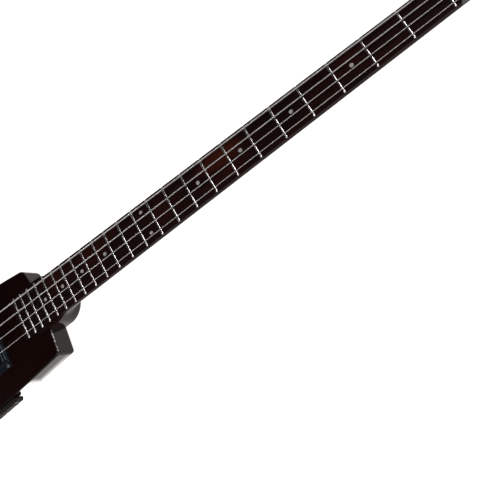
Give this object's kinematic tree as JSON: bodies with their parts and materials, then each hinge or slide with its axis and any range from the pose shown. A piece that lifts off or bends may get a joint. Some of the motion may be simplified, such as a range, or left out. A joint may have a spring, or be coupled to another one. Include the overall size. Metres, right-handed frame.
{
  "type": "electric bass guitar",
  "caption": "Headless solid-body electric bass guitar with a bolted neck, zero fret, tail tuners, soapbar pickups and a fold-out leg rest.",
  "frame": {"origin": "on the flat back of the body, midway along the body on the neck's centre line", "axes": "+X towards the head end of the neck, +Y towards the bass side, +Z out of the front"},
  "size_m": [0.9896, 0.1924, 0.053],
  "materials": {
    "body_lacquer": "black gloss lacquer",
    "neck_lacquer": "black-brown gloss lacquer",
    "fretboard_wood": "oiled dark rosewood",
    "black_metal": "black anodised, satin",
    "steel": "nickel-plated",
    "brass": "turned",
    "string_wire": "round-wound",
    "black_plastic": "moulded, satin",
    "coil": "potted coil",
    "insulation": "smooth",
    "rubber": "moulded, matt"
  },
  "bodies": {
    "instrument": {"body": "body_lacquer", "neck": "neck_lacquer", "fretboard": "fretboard_wood", "truss_rod": "steel", "leg_rest_pin": "steel", "leg_rest_screw_1": "steel", "leg_rest_screw_2": "steel", "front_strap_screw": "steel", "rear_strap_screw": "steel", "output_jack": "steel", "truss_rod_nut": "brass", "neck_bolt_1": "black_metal", "neck_bolt_2": "black_metal", "neck_bolt_3": "black_metal", "neck_bolt_4": "black_metal", "headpiece": "black_metal", "headpiece_screw_1": "black_metal", "headpiece_screw_2": "black_metal", "bridge_base": "black_metal", "bridge_screw_1": "black_metal", "bridge_screw_2": "black_metal", "string_e": "string_wire", "string_a": "string_wire", "string_d": "string_wire", "string_g": "string_wire", "neck_pickup_cover": "black_plastic", "neck_pickup_core": "coil", "neck_pickup_screw_1": "steel", "neck_pickup_screw_2": "steel", "bridge_pickup_cover": "black_plastic", "bridge_pickup_core": "coil", "bridge_pickup_screw_1": "steel", "bridge_pickup_screw_2": "steel", "pot_1": "steel", "pot_2": "steel", "pot_3": "steel", "wiring": "insulation", "control_cover": "black_plastic", "cover_screw_1": "black_metal", "cover_screw_2": "black_metal", "front_strap_button": "black_metal", "rear_strap_button": "black_metal", "leg_rest_bracket": "black_metal"},
    "tuner_e": {"tuner_knob_e": "black_metal"},
    "jaw_e": {"jaw_e": "steel"},
    "saddle_e": {"saddle_e": "black_metal"},
    "tuner_a": {"tuner_knob_a": "black_metal"},
    "jaw_a": {"jaw_a": "steel"},
    "saddle_a": {"saddle_a": "black_metal"},
    "tuner_d": {"tuner_knob_d": "black_metal"},
    "jaw_d": {"jaw_d": "steel"},
    "saddle_d": {"saddle_d": "black_metal"},
    "tuner_g": {"tuner_knob_g": "black_metal"},
    "jaw_g": {"jaw_g": "steel"},
    "saddle_g": {"saddle_g": "black_metal"},
    "knob_1": {"control_knob_1": "black_plastic"},
    "knob_2": {"control_knob_2": "black_plastic"},
    "knob_3": {"control_knob_3": "black_plastic"},
    "leg_rest": {"leg_rest_arm": "black_metal", "leg_rest_pad": "rubber"}
  },
  "joints": [
    {"name": "tuner_e_turn", "type": "hinge", "parent": "instrument", "child": "tuner_e", "pos_m": [-0.1254, 0.0265, 0.044], "axis": [1, 0, 0], "range_deg": [0, 2160]},
    {"name": "jaw_e_slide", "type": "slide", "parent": "instrument", "child": "jaw_e", "axis": [1, 0, 0], "range_m": [0, 0.0048]},
    {"name": "tuner_a_turn", "type": "hinge", "parent": "instrument", "child": "tuner_a", "pos_m": [-0.1254, 0.00883, 0.044], "axis": [1, 0, 0], "range_deg": [0, 2160]},
    {"name": "jaw_a_slide", "type": "slide", "parent": "instrument", "child": "jaw_a", "axis": [1, 0, 0], "range_m": [0, 0.0048]},
    {"name": "tuner_d_turn", "type": "hinge", "parent": "instrument", "child": "tuner_d", "pos_m": [-0.1254, -0.00883, 0.044], "axis": [1, 0, 0], "range_deg": [0, 2160]},
    {"name": "jaw_d_slide", "type": "slide", "parent": "instrument", "child": "jaw_d", "axis": [1, 0, 0], "range_m": [0, 0.0048]},
    {"name": "tuner_g_turn", "type": "hinge", "parent": "instrument", "child": "tuner_g", "pos_m": [-0.1254, -0.0265, 0.044], "axis": [1, 0, 0], "range_deg": [0, 2160]},
    {"name": "jaw_g_slide", "type": "slide", "parent": "instrument", "child": "jaw_g", "axis": [1, 0, 0], "range_m": [0, 0.0048]},
    {"name": "saddle_e_slide", "type": "slide", "parent": "instrument", "child": "saddle_e", "axis": [1, 0, 0], "range_m": [-0.002, 0.006]},
    {"name": "saddle_a_slide", "type": "slide", "parent": "instrument", "child": "saddle_a", "axis": [1, 0, 0], "range_m": [-0.002, 0.006]},
    {"name": "saddle_d_slide", "type": "slide", "parent": "instrument", "child": "saddle_d", "axis": [1, 0, 0], "range_m": [-0.002, 0.006]},
    {"name": "saddle_g_slide", "type": "slide", "parent": "instrument", "child": "saddle_g", "axis": [1, 0, 0], "range_m": [-0.002, 0.006]},
    {"name": "knob_1_turn", "type": "hinge", "parent": "instrument", "child": "knob_1", "pos_m": [0.02, -0.05875, 0.036], "axis": [0, 0, -1], "range_deg": [-150, 150]},
    {"name": "knob_2_turn", "type": "hinge", "parent": "instrument", "child": "knob_2", "pos_m": [-0.02, -0.05875, 0.036], "axis": [0, 0, -1], "range_deg": [-150, 150]},
    {"name": "knob_3_turn", "type": "hinge", "parent": "instrument", "child": "knob_3", "pos_m": [-0.06, -0.05875, 0.036], "axis": [0, 0, -1], "range_deg": [-150, 150]},
    {"name": "leg_rest_fold", "type": "hinge", "parent": "instrument", "child": "leg_rest", "pos_m": [-0.06938, -0.09972, 0.0266], "axis": [0, 0, -1], "range_deg": [0, 75]}
  ],
  "couplings": [
    {"joint": "tuner_e_turn", "follows": "jaw_e_slide", "rad_per_m": 7853.2},
    {"joint": "tuner_a_turn", "follows": "jaw_a_slide", "rad_per_m": 7853.2},
    {"joint": "tuner_d_turn", "follows": "jaw_d_slide", "rad_per_m": 7853.2},
    {"joint": "tuner_g_turn", "follows": "jaw_g_slide", "rad_per_m": 7853.2}
  ]
}
